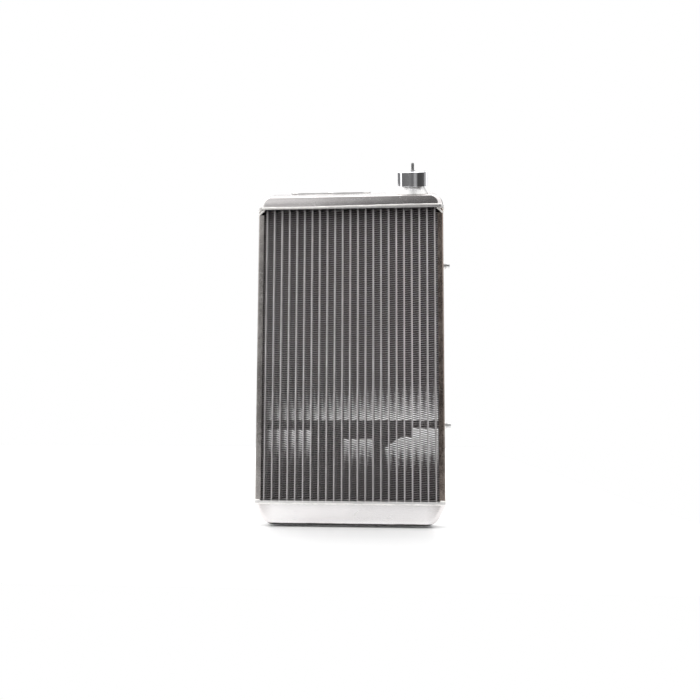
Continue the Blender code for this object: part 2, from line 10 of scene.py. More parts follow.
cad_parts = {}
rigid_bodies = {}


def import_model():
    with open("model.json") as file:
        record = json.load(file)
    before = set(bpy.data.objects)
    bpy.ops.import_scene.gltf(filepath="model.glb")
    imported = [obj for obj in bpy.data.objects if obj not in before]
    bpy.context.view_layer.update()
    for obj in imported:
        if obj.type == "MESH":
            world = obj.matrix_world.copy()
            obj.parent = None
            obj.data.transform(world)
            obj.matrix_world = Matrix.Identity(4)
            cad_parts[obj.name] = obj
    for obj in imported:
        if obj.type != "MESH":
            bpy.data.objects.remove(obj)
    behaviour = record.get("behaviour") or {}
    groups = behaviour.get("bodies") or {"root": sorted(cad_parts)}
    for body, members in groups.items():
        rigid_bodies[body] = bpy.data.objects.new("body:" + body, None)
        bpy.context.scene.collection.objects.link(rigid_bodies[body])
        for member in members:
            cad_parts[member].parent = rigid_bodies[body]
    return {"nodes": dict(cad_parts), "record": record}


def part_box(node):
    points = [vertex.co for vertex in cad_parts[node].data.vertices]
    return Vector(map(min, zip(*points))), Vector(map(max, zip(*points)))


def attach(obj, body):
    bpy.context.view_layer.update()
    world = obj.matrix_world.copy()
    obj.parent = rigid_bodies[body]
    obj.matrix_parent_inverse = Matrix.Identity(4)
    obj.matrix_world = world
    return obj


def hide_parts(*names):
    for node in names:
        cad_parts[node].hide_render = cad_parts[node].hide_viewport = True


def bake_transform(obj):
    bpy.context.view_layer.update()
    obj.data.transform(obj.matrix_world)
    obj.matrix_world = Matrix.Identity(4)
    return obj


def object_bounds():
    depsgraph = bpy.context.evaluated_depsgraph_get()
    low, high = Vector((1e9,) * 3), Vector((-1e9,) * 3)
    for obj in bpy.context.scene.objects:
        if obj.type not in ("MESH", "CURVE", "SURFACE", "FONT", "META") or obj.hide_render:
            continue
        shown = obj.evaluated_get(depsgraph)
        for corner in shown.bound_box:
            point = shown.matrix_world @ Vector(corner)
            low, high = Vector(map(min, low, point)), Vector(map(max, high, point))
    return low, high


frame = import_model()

CAD_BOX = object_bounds()

MM = 0.001
SHARP = math.radians(32)

# ------------------------------------------------------------------ places read from the frame


def low(node):
    return Vector(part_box(node)[0])


def high(node):
    return Vector(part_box(node)[1])


def middle(node):
    return (low(node) + high(node)) / 2


TUBES = sorted(name for name in frame["nodes"] if name.startswith("core_row_"))
HALF_TUBE = 1 * MM
TUBE_X = [high(name).x - HALF_TUBE for name in TUBES]
CORE_FRONT = low(TUBES[0]).y
CORE_BACK = high(TUBES[0]).y
BOTTOM_SEAM = low("bottom_header").z
CORE_BOTTOM = high("bottom_header").z
CORE_TOP = low("top_header").z
TOP_SEAM = high("top_header").z
SIDE_FACE = high("side_plate_right").x
SIDE_DEPTH = high("side_plate_right").y
SIDE_LIP = low("side_plate_right").x
TANK_HALF_WIDTH = high("bottom_tank").x
TANK_HALF_DEPTH = high("bottom_tank").y
TOP_REAR_Z = high("top_tank").z
CAP_TURN = {joint["name"]: joint for joint in frame["record"]["behaviour"]["joints"]}["cap_turn"]
NECK = Vector(CAP_TURN["pos_m"])
NECK_AXIS = Vector(CAP_TURN["axis"]).normalized()
NECK_TILT = math.atan2(-NECK_AXIS.y, NECK_AXIS.z)
NECK_FRAME = Matrix.Translation(NECK) @ Matrix.Rotation(NECK_TILT, 4, "X")

# Tank outlines, as the solids have them, but for a sharper front fold and larger end fillets at the top.
GAP = 0.3 * MM
TANK_WALL = 2.5 * MM
TANK_FILLET = 6.5 * MM
BOTTOM_FLAT_HALF = 96 * MM
BOTTOM_ARC = 20 * MM
BOTTOM_END_SLOPE = math.radians(28.6)
TOP_CORNER_WIDTH = 15 * MM
TOP_FOLD = 0.6 * MM
TOP_END_FILLET = 8.5 * MM
TOP_RISE = 2 * TANK_HALF_DEPTH * math.tan(NECK_TILT)
TOP_FRONT_Z = TOP_REAR_Z - TOP_RISE

# Folded fins.
FIN_PITCH = 2.86 * MM
FIN_SHEET = 0.2 * MM
FIN_CREST = 0.34 * MM
FIN_BANKS = 8
FIN_CHEVRON = 0.40 * MM
FIN_BRAZE = 0.12
FIN_FILLET = 0.16 * MM
FIN_BURR = 0.26 * MM
FOLD_SEED = 100
CHEVRON_SEED = 500


# ------------------------------------------------------------------ mesh helpers

def placed(name, data):
    """A new object in the scene."""
    made = bpy.data.objects.new(name, data)
    bpy.context.scene.collection.objects.link(made)
    return made


def piece(name, mesh, material, body="root", replaces=(), smooth=True):
    """A shown piece: its finish, its body (a blended piece has none) and the solids it stands for."""
    shape = placed(name, mesh)
    mesh.materials.clear()
    mesh.materials.append(material)
    if smooth:
        mesh.shade_smooth()
        mesh.set_sharp_from_angle(angle=SHARP)
    if body:
        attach(shape, body)
    if replaces:
        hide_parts(*replaces)
    return shape


def soften(shape, width):
    """Rounds the sharp edges a little."""
    bevel = shape.modifiers.new("rounded_edges", "BEVEL")
    bevel.width = width
    bevel.segments = 2
    bevel.limit_method = "ANGLE"
    bevel.angle_limit = math.radians(35)
    bevel.harden_normals = True


def finished(bm, name, matrix=None):
    bmesh.ops.recalc_face_normals(bm, faces=bm.faces)
    if matrix is not None:
        bmesh.ops.transform(bm, matrix=matrix, verts=bm.verts)
    mesh = bpy.data.meshes.new(name)
    bm.to_mesh(mesh)
    bm.free()
    return mesh


def bridge(bm, first, second):
    count = len(first)
    for i in range(count):
        j = (i + 1) % count
        bm.faces.new((first[i], first[j], second[j], second[i]))


def loops_mesh(name, loops, closed=False, matrix=None):
    """A skin over a row of closed loops, capped at its two ends or joined into a ring."""
    bm = bmesh.new()
    rings = [[bm.verts.new(point) for point in loop] for loop in loops]
    for first, second in zip(rings, rings[1:]):
        bridge(bm, first, second)
    if closed:
        bridge(bm, rings[-1], rings[0])
    else:
        bm.faces.new(rings[0])
        bm.faces.new(rings[-1])
    return finished(bm, name, matrix)


def around(count):
    """Even angles around a circle."""
    return [math.tau * k / count for k in range(count)]


def wheel(centre, across, upward, radius, count):
    """Points of a circle about a centre, in the plane of two directions."""
    return [centre + (across * math.cos(turn) + upward * math.sin(turn)) * radius for turn in around(count)]


def turned(name, profile, segments=64, closed=True, matrix=None, shape_radius=None):
    """A shape turned about its own Z from (radius, height) points in millimetres."""
    bm = bmesh.new()
    rings = []
    for radius, height in [(r * MM, z * MM) for r, z in profile]:
        if radius == 0:
            rings.append([bm.verts.new((0, 0, height))])
            continue
        ring = []
        for angle in around(segments):
            reach = shape_radius(radius, height, angle) if shape_radius else radius
            ring.append(bm.verts.new((reach * math.sin(angle), -reach * math.cos(angle), height)))
        rings.append(ring)
    pairs = list(zip(rings, rings[1:]))
    if closed:
        pairs.append((rings[-1], rings[0]))
    for first, second in pairs:
        if len(first) == 1 or len(second) == 1:
            tip, ring = (first, second) if len(first) == 1 else (second, first)
            for a, b in zip(ring, ring[1:] + ring[:1]):
                bm.faces.new((tip[0], a, b))
        else:
            bridge(bm, first, second)
    return finished(bm, name, matrix)


def prism(name, outline, start, end, axis="Y", matrix=None):
    """An outline given length along Y, from (x, z) points, or along Z, from (x, y) points."""
    if axis == "Y":
        loops = [[(a, step, b) for a, b in outline] for step in (start, end)]
    else:
        loops = [[(a, b, step) for a, b in outline] for step in (start, end)]
    return loops_mesh(name, loops, matrix=matrix)


def arc(centre, radius, start, end, steps):
    """Points of a circular arc, angles in degrees."""
    points = []
    for i in range(steps + 1):
        angle = math.radians(start + (end - start) * i / steps)
        points.append((centre[0] + radius * math.cos(angle), centre[1] + radius * math.sin(angle)))
    return points


def cut(shape, *cutters):
    """Cuts other meshes out of a piece, and keeps the result."""
    for index, mesh in enumerate(cutters):
        modifier = shape.modifiers.new("cut", "BOOLEAN")
        modifier.object = placed(f"{shape.name}_cutter_{index}", mesh)
        modifier.solver = "EXACT"
    graph = bpy.context.evaluated_depsgraph_get()
    made = bpy.data.meshes.new_from_object(shape.evaluated_get(graph))
    shape.modifiers.clear()
    shape.data = made
    for tool in [o for o in bpy.data.objects if o.name.startswith(f"{shape.name}_cutter_")]:
        bpy.data.objects.remove(tool, do_unlink=True)
    made.shade_smooth()
    made.set_sharp_from_angle(angle=SHARP)
    return shape


def rearward(node):
    """A frame at the root of a rear fitting, its own Z looking out of the back."""
    spot = middle(node)
    spot.y = TANK_HALF_DEPTH
    return Matrix.Translation(spot) @ Matrix.Rotation(math.radians(-90), 4, "X")


def keep_in_box(mesh):
    """Pulls metal that strays past the solid model's box back inside it."""
    for vert in mesh.vertices:
        for axis in range(3):
            vert.co[axis] = min(max(vert.co[axis], CAD_BOX[0][axis]), CAD_BOX[1][axis])


# ------------------------------------------------------------------ materials

class Nodes:
    """Short calls for building a node tree."""

    def __init__(self, owner):
        owner.use_nodes = True
        self.tree = owner.node_tree

    def link(self, source, target):
        self.tree.links.new(source, target)

    def add(self, kind, inputs=None, **values):
        """A new node, its inputs linked to other nodes' outputs or set to plain values."""
        node = self.tree.nodes.new(kind)
        for key, value in values.items():
            setattr(node, key, value)
        for key, value in (inputs or {}).items():
            if isinstance(value, bpy.types.NodeSocket):
                self.link(value, node.inputs[key])
            else:
                node.inputs[key].default_value = value
        return node

    def math(self, operation, first, second=0.0):
        return self.add("ShaderNodeMath", {0: first, 1: second}, operation=operation).outputs[0]


class Finish(Nodes):
    """Short calls for building one material, metal unless told otherwise."""

    def __init__(self, name, metallic=1.0):
        self.material = bpy.data.materials.new(name)
        super().__init__(self.material)
        self.shader = self.tree.nodes["Principled BSDF"]
        self.shader.inputs["Metallic"].default_value = metallic
        self.place = self.add("ShaderNodeTexCoord").outputs["Object"]

    def coated(self, tone, roughness):
        """The material, with this colour and roughness."""
        self.link(tone, self.shader.inputs["Base Color"])
        self.link(roughness, self.shader.inputs["Roughness"])
        return self.material

    def scaled(self, scale):
        return self.add("ShaderNodeMapping", {"Scale": scale, "Vector": self.place}).outputs["Vector"]

    def noise(self, scale, detail=4.0, stretch=(1, 1, 1), roughness=0.55):
        inputs = {"Scale": scale, "Detail": detail, "Roughness": roughness, "Vector": self.scaled(stretch)}
        return self.add("ShaderNodeTexNoise", inputs).outputs["Fac"]

    def ramp(self, source, stops):
        """Greys along a source, from (position, value) stops."""
        node = self.add("ShaderNodeValToRGB")
        elements = node.color_ramp.elements
        while len(elements) < len(stops):
            elements.new(0.5)
        for element, (position, value) in zip(elements, stops):
            element.position = position
            element.color = (value, value, value, 1)
        self.link(source, node.inputs["Fac"])
        return node.outputs["Color"]

    def ranged(self, source, low_in, high_in, low_out, high_out):
        """A source stretched from one range of values to another."""
        inputs = dict(enumerate((source, low_in, high_in, low_out, high_out)))
        return self.add("ShaderNodeMapRange", inputs).outputs["Result"]

    def mixed(self, factor, first, second, blend="MIX"):
        """A mix of two colours, each a plain colour or another node's output."""
        first, second = ((*tone, 1) if isinstance(tone, tuple) else tone for tone in (first, second))
        node = self.add("ShaderNodeMix", {0: factor, 6: first, 7: second}, data_type="RGBA", blend_type=blend)
        return node.outputs[2]

    def along(self, axis):
        """The place along one axis, in metres."""
        return self.add("ShaderNodeSeparateXYZ", {0: self.place}).outputs["XYZ".index(axis)]

    def shaded(self, tone, stops):
        """Multiplies a colour by a value that changes with height, from (height, value) stops."""
        low_z, high_z = stops[0][0], stops[-1][0]
        part = self.ranged(self.along("Z"), low_z, high_z, 0, 1)
        ramp = self.ramp(part, [((z - low_z) / (high_z - low_z), value) for z, value in stops])
        return self.mixed(1.0, tone, ramp, "MULTIPLY")

    def bump(self, height, strength, distance):
        """Adds to the bumps that the surface already has."""
        node = self.add("ShaderNodeBump", {"Strength": strength, "Distance": distance, "Height": height})
        last = self.shader.inputs["Normal"]
        if last.is_linked:
            self.link(last.links[0].from_socket, node.inputs["Normal"])
        self.link(node.outputs["Normal"], last)


# Stretches of the grain.
ACROSS = (1, 40, 40)
UPRIGHT = (40, 40, 1)
FORE_AND_AFT = (1, 1, 30)
NO_GRAIN = (1, 1, 1)


def sheet_metal(name, dark, light, rough, grain=ACROSS, scratches=True, dust_and_shade=None, foot=None):
    """Rolled or brushed aluminium: fine grain one way, faint stains, a few scratches.

    Painted shade darkens it by height where given. A foot is painted near black, dull and not metallic up to
    that height as painted shadow under the tank, and its ends are painted darker as painted shade."""
    made = Finish(name)
    blotch = made.noise(28, 5, roughness=0.6)
    fine = made.noise(140, 6, stretch=grain)
    tone = made.mixed(made.ranged(blotch, 0.35, 0.7, 0, 1), dark, light)
    tone = made.mixed(0.25, tone, made.ramp(fine, ((0.3, 0.72), (0.7, 1.0))), "MULTIPLY")
    roughness = made.math("ADD", made.ranged(blotch, 0.3, 0.7, rough - 0.05, rough + 0.05),
                          made.ranged(fine, 0.3, 0.7, -0.05, 0.06))
    if scratches:
        inputs = {"Scale": 55, "Vector": made.scaled((0.35, 1.0, 1.7))}
        lines = made.add("ShaderNodeTexVoronoi", inputs, feature="DISTANCE_TO_EDGE")
        thin = made.ranged(lines.outputs["Distance"], 0.0, 0.012, 1, 0)
        broken = made.math("MULTIPLY", thin, made.ranged(made.noise(60, 3), 0.52, 0.62, 0, 1))
        tone = made.mixed(made.math("MULTIPLY", broken, 0.35), tone, (0.95, 0.95, 0.95))
        roughness = made.math("ADD", roughness, made.math("MULTIPLY", broken, 0.12))
        made.bump(broken, 0.25, 0.05 * MM)
    if dust_and_shade:
        tone = made.shaded(tone, dust_and_shade)
    if foot:
        # Painted shade: the tank's ends are made darker.
        ends = made.math("ABSOLUTE", made.along("X"))
        tone = made.mixed(made.ranged(ends, *END_SHADE_SPAN, 0, 1), tone, END_SHADE, "MULTIPLY")
        # Painted shadow: up to the foot height the metal is made near black, dull and not metallic.
        edge = made.math("ADD", made.along("Z"), made.ranged(blotch, 0.3, 0.7, -0.3 * MM, 0.3 * MM))
        out_of_shadow = made.ranged(edge, foot - FOOT_SHADOW_FADE, foot + FOOT_SHADOW_FADE, 0, 1)
        tone = made.mixed(out_of_shadow, FOOT_SHADOW_TONE, tone)
        made.link(out_of_shadow, made.shader.inputs["Metallic"])
        roughness = made.math("ADD", roughness, made.ranged(out_of_shadow, 0, 1, 0.5, 0))
    made.bump(fine, 0.05, 0.05 * MM)
    made.bump(blotch, 0.06, 0.6 * MM)
    return made.coated(tone, roughness)


def weld_metal():
    """Frosty deposited metal, a little darker and yellower in fine random patches."""
    made = Finish("weld_bead")
    soot = made.noise(320, 5)
    broad = made.noise(60, 3)
    tone = made.mixed(made.ranged(broad, 0.35, 0.7, 0, 1), (0.98, 0.965, 0.94), (0.88, 0.86, 0.83))
    tone = made.mixed(0.25, tone, made.ramp(soot, ((0.35, 0.6), (0.6, 1.0))), "MULTIPLY")
    made.bump(soot, 0.25, 0.12 * MM)
    return made.coated(tone, made.ranged(soot, 0.3, 0.7, 0.28, 0.46))


def fin_metal():
    """Thin folded sheet with rows of louvres and a brazing bloom, its metal made very dark as painted shade
    of the deep core, and darker by height as painted shade.
    """
    made = Finish("fin_sheet")
    bloom = made.noise(45, 4)
    speck = made.noise(600, 3)
    tone = made.mixed(made.ranged(bloom, 0.35, 0.7, 0, 1), FIN_SHADE_DARK, FIN_SHADE_LIGHT)
    tone = made.mixed(0.4, tone, made.ramp(speck, ((0.35, 0.6), (0.65, 1.0))), "MULTIPLY")
    # Painted shade: darker low down and under the top header.
    tone = made.shaded(tone, FIN_SHADE_BY_HEIGHT)
    louvres = made.add("ShaderNodeTexWave", {"Scale": 260, "Vector": made.place},
                       wave_type="BANDS", bands_direction="Y", wave_profile="SAW")
    made.bump(louvres.outputs["Fac"], 0.5, 0.25 * MM)
    return made.coated(tone, made.ranged(bloom, 0.3, 0.7, 0.42, 0.6))


def polished_metal():
    """Mirror-polished metal with faint turning marks and hand smudges."""
    made = Finish("polished_cap")
    smudge = made.noise(130, 4, roughness=0.7)
    marks = made.noise(900, 2, stretch=(0.2, 0.2, 3))
    tone = made.mixed(made.ranged(smudge, 0.35, 0.75, 0, 1), (0.90, 0.90, 0.92), (0.80, 0.80, 0.84))
    made.bump(marks, 0.03, 0.03 * MM)
    return made.coated(tone, made.ranged(smudge, 0.35, 0.8, 0.05, 0.17))


def steel(name, dark, light, rough, dust_and_shade=None):
    """Metal with a cloudy surface, such as zinc plating. Painted shade darkens it by height where given."""
    made = Finish(name)
    cloud = made.noise(420, 4)
    tone = made.mixed(made.ranged(cloud, 0.35, 0.7, 0, 1), dark, light)
    if dust_and_shade:
        tone = made.shaded(tone, dust_and_shade)
    made.bump(cloud, 0.08, 0.05 * MM)
    return made.coated(tone, made.ranged(cloud, 0.3, 0.7, rough - 0.06, rough + 0.08))


def rubber():
    """Moulded black rubber with a dusty bloom."""
    made = Finish("black_rubber", metallic=0.0)
    dust_and_shade = made.noise(260, 5)
    tone = made.mixed(made.ranged(dust_and_shade, 0.4, 0.75, 0, 1), (0.018, 0.018, 0.019), (0.05, 0.049, 0.047))
    made.bump(dust_and_shade, 0.2, 0.08 * MM)
    return made.coated(tone, made.ranged(dust_and_shade, 0.3, 0.7, 0.55, 0.75))


# Painted shade by height, from (height, value) stops: the fins and tubes darker low down and under the top
# header, the right channel darker towards the bottom.
FIN_SHADE_BY_HEIGHT = (
    (0.03, 0.54), (0.07, 0.62), (0.12, 0.68), (0.17, 0.82), (0.22, 1.0), (0.34, 1.0), (0.39, 0.88),
    (0.408, 0.5),
)
TUBE_SHADE_BY_HEIGHT = ((0.03, 0.68), (0.08, 0.78), (0.16, 1.0), (0.37, 1.0), (0.395, 0.75), (0.408, 0.5))
CHANNEL_SHADE_BY_HEIGHT = ((0.027, 0.60), (0.07, 0.72), (0.13, 0.95), (0.2, 1.0), (0.41, 1.0))

# Painted shade: the fin metal is made very dark for the shade deep in the core.
FIN_SHADE_DARK = (0.13, 0.108, 0.11)
FIN_SHADE_LIGHT = (0.18, 0.152, 0.155)
# Painted shade on the bottom tank's ends: its tone and span in |x|.
END_SHADE = (0.80, 0.785, 0.78)
END_SHADE_SPAN = (97 * MM, 112 * MM)
# Painted shadow at the bottom tank's foot: its tone, height and fade.
FOOT_SHADOW_TONE = (0.03, 0.028, 0.028)
FOOT_SHADOW_HEIGHT = 2.6 * MM
FOOT_SHADOW_FADE = 0.4 * MM

TANK = sheet_metal("tank_sheet", (0.83, 0.795, 0.79), (0.93, 0.895, 0.89), 0.21)
# Painted light: the bottom tank's sheet is a lighter copy of the top tank's; it also carries a painted shadow
# at its foot and painted shade at its ends.
BOTTOM_TANK_LIT_SHEET = sheet_metal("foot_tank_sheet", (0.93, 0.905, 0.905), (0.98, 0.96, 0.96), 0.21, foot=FOOT_SHADOW_HEIGHT)
PLATE = sheet_metal("plate_sheet", (0.72, 0.71, 0.70), (0.84, 0.83, 0.82), 0.36, FORE_AND_AFT)
LEFT_CHANNEL = sheet_metal("left_channel_sheet", (0.42, 0.395, 0.38), (0.53, 0.505, 0.485), 0.26, UPRIGHT)
# Painted shade: the right channel is a darker, browner copy of the left channel's metal, and darker still
# towards the bottom.
RIGHT_SHADED_CHANNEL = sheet_metal("right_channel_sheet", (0.41, 0.335, 0.295), (0.52, 0.435, 0.385), 0.26, UPRIGHT,
                            dust_and_shade=CHANNEL_SHADE_BY_HEIGHT)
BRACKET = sheet_metal("bracket_sheet", (0.80, 0.79, 0.78), (0.91, 0.90, 0.89), 0.40)
# Painted shade: the tubes darker low down and under the top header.
TUBE = sheet_metal("tube_sheet", (0.67, 0.645, 0.65), (0.83, 0.805, 0.81), 0.42, UPRIGHT, False, TUBE_SHADE_BY_HEIGHT)
CAST = sheet_metal("turned_fitting", (0.78, 0.77, 0.76), (0.88, 0.87, 0.86), 0.28, NO_GRAIN, False)
WELD = weld_metal()
FIN = fin_metal()
# Bare metal of the fins' cut rims, brighter than the fin sheet, doubling as a painted highlight on every
# other leaf; painted shade by height too.
FIN_BARE_RIM_AND_HIGHLIGHT = steel("fin_cut_edge", (0.55, 0.515, 0.52), (0.75, 0.715, 0.72), 0.36, dust_and_shade=FIN_SHADE_BY_HEIGHT)
POLISHED = polished_metal()
ZINC = steel("zinc_steel", (0.55, 0.55, 0.55), (0.72, 0.72, 0.71), 0.30)
NIPPLE = steel("nipple_steel", (0.30, 0.30, 0.30), (0.42, 0.42, 0.415), 0.42)
# Painted light: the neck's metal is a lighter copy of the turned fittings' metal.
NECK_LIT_CASTING = sheet_metal("neck_casting", (0.92, 0.915, 0.91), (0.97, 0.97, 0.965), 0.4, NO_GRAIN, False)
COPPER = steel("copper_washer", (0.62, 0.33, 0.22), (0.80, 0.47, 0.33), 0.34)
RUBBER = rubber()


# ------------------------------------------------------------------ core

def make_tubes():
    """Upright flat tubes with rounded noses, open at both ends."""
    wall = 0.4 * MM
    nose = CORE_BACK - HALF_TUBE
    for index, (node, x) in enumerate(zip(TUBES, TUBE_X), 1):
        loops = []
        for inset, height in ((0, low(node).z), (0, high(node).z), (wall, high(node).z), (wall, low(node).z)):
            radius = HALF_TUBE - inset
            ring = arc((x, nose), radius, 0, 180, 8) + arc((x, -nose), radius, 180, 360, 8)
            loops.append([(a, b, height) for a, b in ring])
        mesh = loops_mesh(f"tube_{index:02d}", loops, closed=True)
        piece(f"tube_{index:02d}", mesh, TUBE, replaces=[node])


def fin_path(left, right, seed):
    """Points (x, z, crest) of one folded strip, slightly uneven. Crest is 1 at a fold and 0 between."""
    chance = random.Random(seed)
    bottom = CORE_BOTTOM + 0.2 * MM
    top = CORE_TOP - 0.2 * MM
    folds = int((top - bottom) / (FIN_PITCH / 2))
    rise = (top - bottom) / folds
    points = []
    phase = chance.uniform(0.2, 0.8) * rise
    for fold in range(folds):
        z = bottom + phase + fold * rise + chance.uniform(-0.06, 0.06) * rise
        if z > top - FIN_CREST:
            break
        side = 1 if fold % 2 else -1
        crest_x = (right if side > 0 else left) - side * FIN_CREST
        turn = [(crest_x + side * FIN_CREST * math.cos(angle), z + FIN_CREST * math.sin(angle), 1.0)
                for angle in map(math.radians, (-70, 0, 70))]
        if points:
            last, first = points[-1], turn[0]
            for part in (FIN_BRAZE, 1 - FIN_BRAZE):
                x, z = (a + (b - a) * part for a, b in zip(last[:2], first[:2]))
                points.append((x, z, 0.0))
        points += turn
    return np.array(points)


def strip_mesh(name, line, front, back, seed):
    """A folded sheet as deep as the core, set in shallow chevrons, with its cut edges at front and back.

    The edges of every other leaf, and of the folds, are bevelled and made bright, partly as bare cut metal
    and partly as a painted highlight on the leaves that face the light. Returns the mesh and a mark for each
    of its faces, true where it is bright."""
    crest = line[:, 2:]
    line = line[:, :2]
    along = np.gradient(line, axis=0)
    along /= np.linalg.norm(along, axis=1)[:, None]
    side = np.stack([-along[:, 1], along[:, 0]], axis=1)
    leaf = np.clip(along[:, 0], 0, 1)
    shorn = np.maximum(leaf, crest[:, 0])
    chance = np.random.default_rng(seed)
    count = len(line)
    rows = []
    for step in range(FIN_BANKS + 1):
        part = step / FIN_BANKS
        shift = FIN_CHEVRON * (0, 1, 0, -1)[step % 4] + chance.normal(0, 0.02 * MM, count)
        depth = np.full(count, front + (back - front) * part)
        rows.append(np.stack([line[:, 0], depth, line[:, 1] + shift], axis=1))
    for row, depth in ((rows[0], front), (rows[-1], back)):
        for hand in (-1, 1):
            reach = FIN_SHEET / 2 + crest * FIN_FILLET + leaf[:, None] * FIN_BURR / 2
            edge = row[:, [0, 2]] + hand * side * reach
            bevel = shorn * FIN_BURR * (hand + 1) / 2 * (1 if depth == front else -1)
            rows.append(np.stack([edge[:, 0], depth + bevel, edge[:, 1]], axis=1))
    verts = np.concatenate(rows)
    pairs = [(k, k + 1) for k in range(FIN_BANKS)]
    rims = [(FIN_BANKS + 1, FIN_BANKS + 2), (FIN_BANKS + 4, FIN_BANKS + 3)]
    faces = []
    for a, b in pairs + rims:
        first, second = np.arange(count) + a * count, np.arange(count) + b * count
        faces.append(np.stack([first[:-1], first[1:], second[1:], second[:-1]], axis=1))
    faces = np.concatenate(faces)
    mesh = bpy.data.meshes.new(name)
    mesh.vertices.add(len(verts))
    mesh.vertices.foreach_set("co", verts.ravel())
    mesh.loops.add(faces.size)
    mesh.loops.foreach_set("vertex_index", faces.ravel())
    mesh.polygons.add(len(faces))
    mesh.polygons.foreach_set("loop_start", np.arange(len(faces)) * 4)
    # Painted highlight: the rims of the rising leaves and of the folds are marked bright.
    highlit_rim = (np.diff(line[:, 0]) > 0) | (crest[1:, 0] + crest[:-1, 0] == 2)
    sheet = np.zeros(len(pairs) * (count - 1), bool)
    bright = np.concatenate([sheet, np.tile(highlit_rim, len(rims))])
    mesh.update(calc_edges=True)
    return mesh, bright


def make_fins():
    """The folded strips that fill the spaces beside the tubes."""
    web = SIDE_FACE - 1.5 * MM
    edges = [-web] + [x for tube in TUBE_X for x in (tube - HALF_TUBE, tube + HALF_TUBE)] + [web]
    setback = 0.4 * MM
    for index in range(len(TUBE_X) + 1):
        left, right = edges[2 * index], edges[2 * index + 1]
        line = fin_path(left, right, FOLD_SEED + index)
        name = f"fin_{index + 1:02d}"
        mesh, bright = strip_mesh(name, line, CORE_FRONT + setback, CORE_BACK - setback, CHEVRON_SEED + index)
        stands_for = ["core_fin_last"] if index == len(TUBE_X) else ()
        piece(name, mesh, FIN, replaces=stands_for, smooth=False)
        # The bright rims get the bare cut metal, which doubles as a painted highlight.
        mesh.materials.append(FIN_BARE_RIM_AND_HIGHLIGHT)
        mesh.polygons.foreach_set("material_index", bright.astype(np.int32))


def rounded_rectangle(half_width, half_depth, radius, steps=6):
    points = []
    for corner, (x, y) in enumerate(((1, 1), (-1, 1), (-1, -1), (1, -1))):
        centre = (x * (half_width - radius), y * (half_depth - radius))
        points += arc(centre, radius, 90 * corner, 90 * corner + 90, steps)
    return points


def make_headers():
    outline = rounded_rectangle(*high("top_header").xy, 4 * MM)
    for name in ("bottom_header", "top_header"):
        mesh = prism(name + "_plate", outline, low(name).z, high(name).z, axis="Z")
        soften(piece(name + "_plate", mesh, PLATE, replaces=[name]), 0.5 * MM)


def make_side_channels():
    """Channels folded from sheet, with rounded bends."""
    sheet = 1.5 * MM
    bend = 2 * MM
    front, rear = ((SIDE_FACE - bend, face * (SIDE_DEPTH - bend)) for face in (-1, 1))
    for side, node, look in ((-1, "side_plate_left", LEFT_CHANNEL), (1, "side_plate_right", RIGHT_SHADED_CHANNEL)):
        outer = arc(front, bend, -90, 0, 5) + arc(rear, bend, 0, 90, 5)
        inner = arc(rear, bend - sheet, 90, 0, 5) + arc(front, bend - sheet, 0, -90, 5)
        outline = [(SIDE_LIP, -SIDE_DEPTH)] + outer
        outline += [(SIDE_LIP, SIDE_DEPTH), (SIDE_LIP, SIDE_DEPTH - sheet)]
        outline += inner + [(SIDE_LIP, -SIDE_DEPTH + sheet)]
        outline = [(side * x, y) for x, y in outline]
        mesh = prism(node + "_channel", outline, low(node).z, high(node).z, axis="Z")
        channel = piece(node + "_channel", mesh, look, replaces=[node])
        reach = SIDE_FACE - sheet
        foot = CORE_TOP - 7 * MM
        notch = [(SIDE_LIP - 2 * MM, CORE_TOP), (reach - 2 * MM, CORE_TOP - 4 * MM), (reach, foot)]
        notch = [(side * x, z) for x, z in notch + [(SIDE_LIP - 2 * MM, foot)]]
        soften(cut(channel, prism("notch", notch, -SIDE_DEPTH - MM, SIDE_DEPTH + MM)), 0.25 * MM)


# ------------------------------------------------------------------ tanks

def bottom_half(_depth, wall):
    radius = BOTTOM_ARC - wall
    last = 90 - math.degrees(BOTTOM_END_SLOPE)
    bend = arc((BOTTOM_FLAT_HALF, BOTTOM_ARC), radius, last - 90, -90, 14)
    end_x = TANK_HALF_WIDTH - wall
    knee = bend[0][1] + (end_x - bend[0][0]) / math.tan(BOTTOM_END_SLOPE)
    rim = BOTTOM_SEAM - GAP + (2 * MM if wall else 0)
    fillet = max(TANK_FILLET - wall, MM)
    return [(x, z, fillet) for x, z in [(end_x, rim), (end_x, knee)] + bend]


def top_half(depth, wall):
    part = (depth + TANK_HALF_DEPTH) / (2 * TANK_HALF_DEPTH)
    crown = TOP_FRONT_Z + TOP_RISE * part - wall
    shoulder = TOP_SEAM + 1.5 * MM
    across = TOP_CORNER_WIDTH - wall
    flat = TANK_HALF_WIDTH - TOP_CORNER_WIDTH
    rim = TOP_SEAM + GAP - (2 * MM if wall else 0)
    points = [(flat + across, rim, TOP_END_FILLET - wall)]
    steps = 16
    for i in range(steps + 1):
        angle = math.pi / 2 * i / steps
        fillet = TOP_FOLD + (TOP_END_FILLET - TOP_FOLD) * math.cos(angle)
        x = flat + across * math.cos(angle)
        z = shoulder + (crown - shoulder) * math.sin(angle)
        points.append((x, z, max(fillet - wall, 0.5 * MM)))
    return points


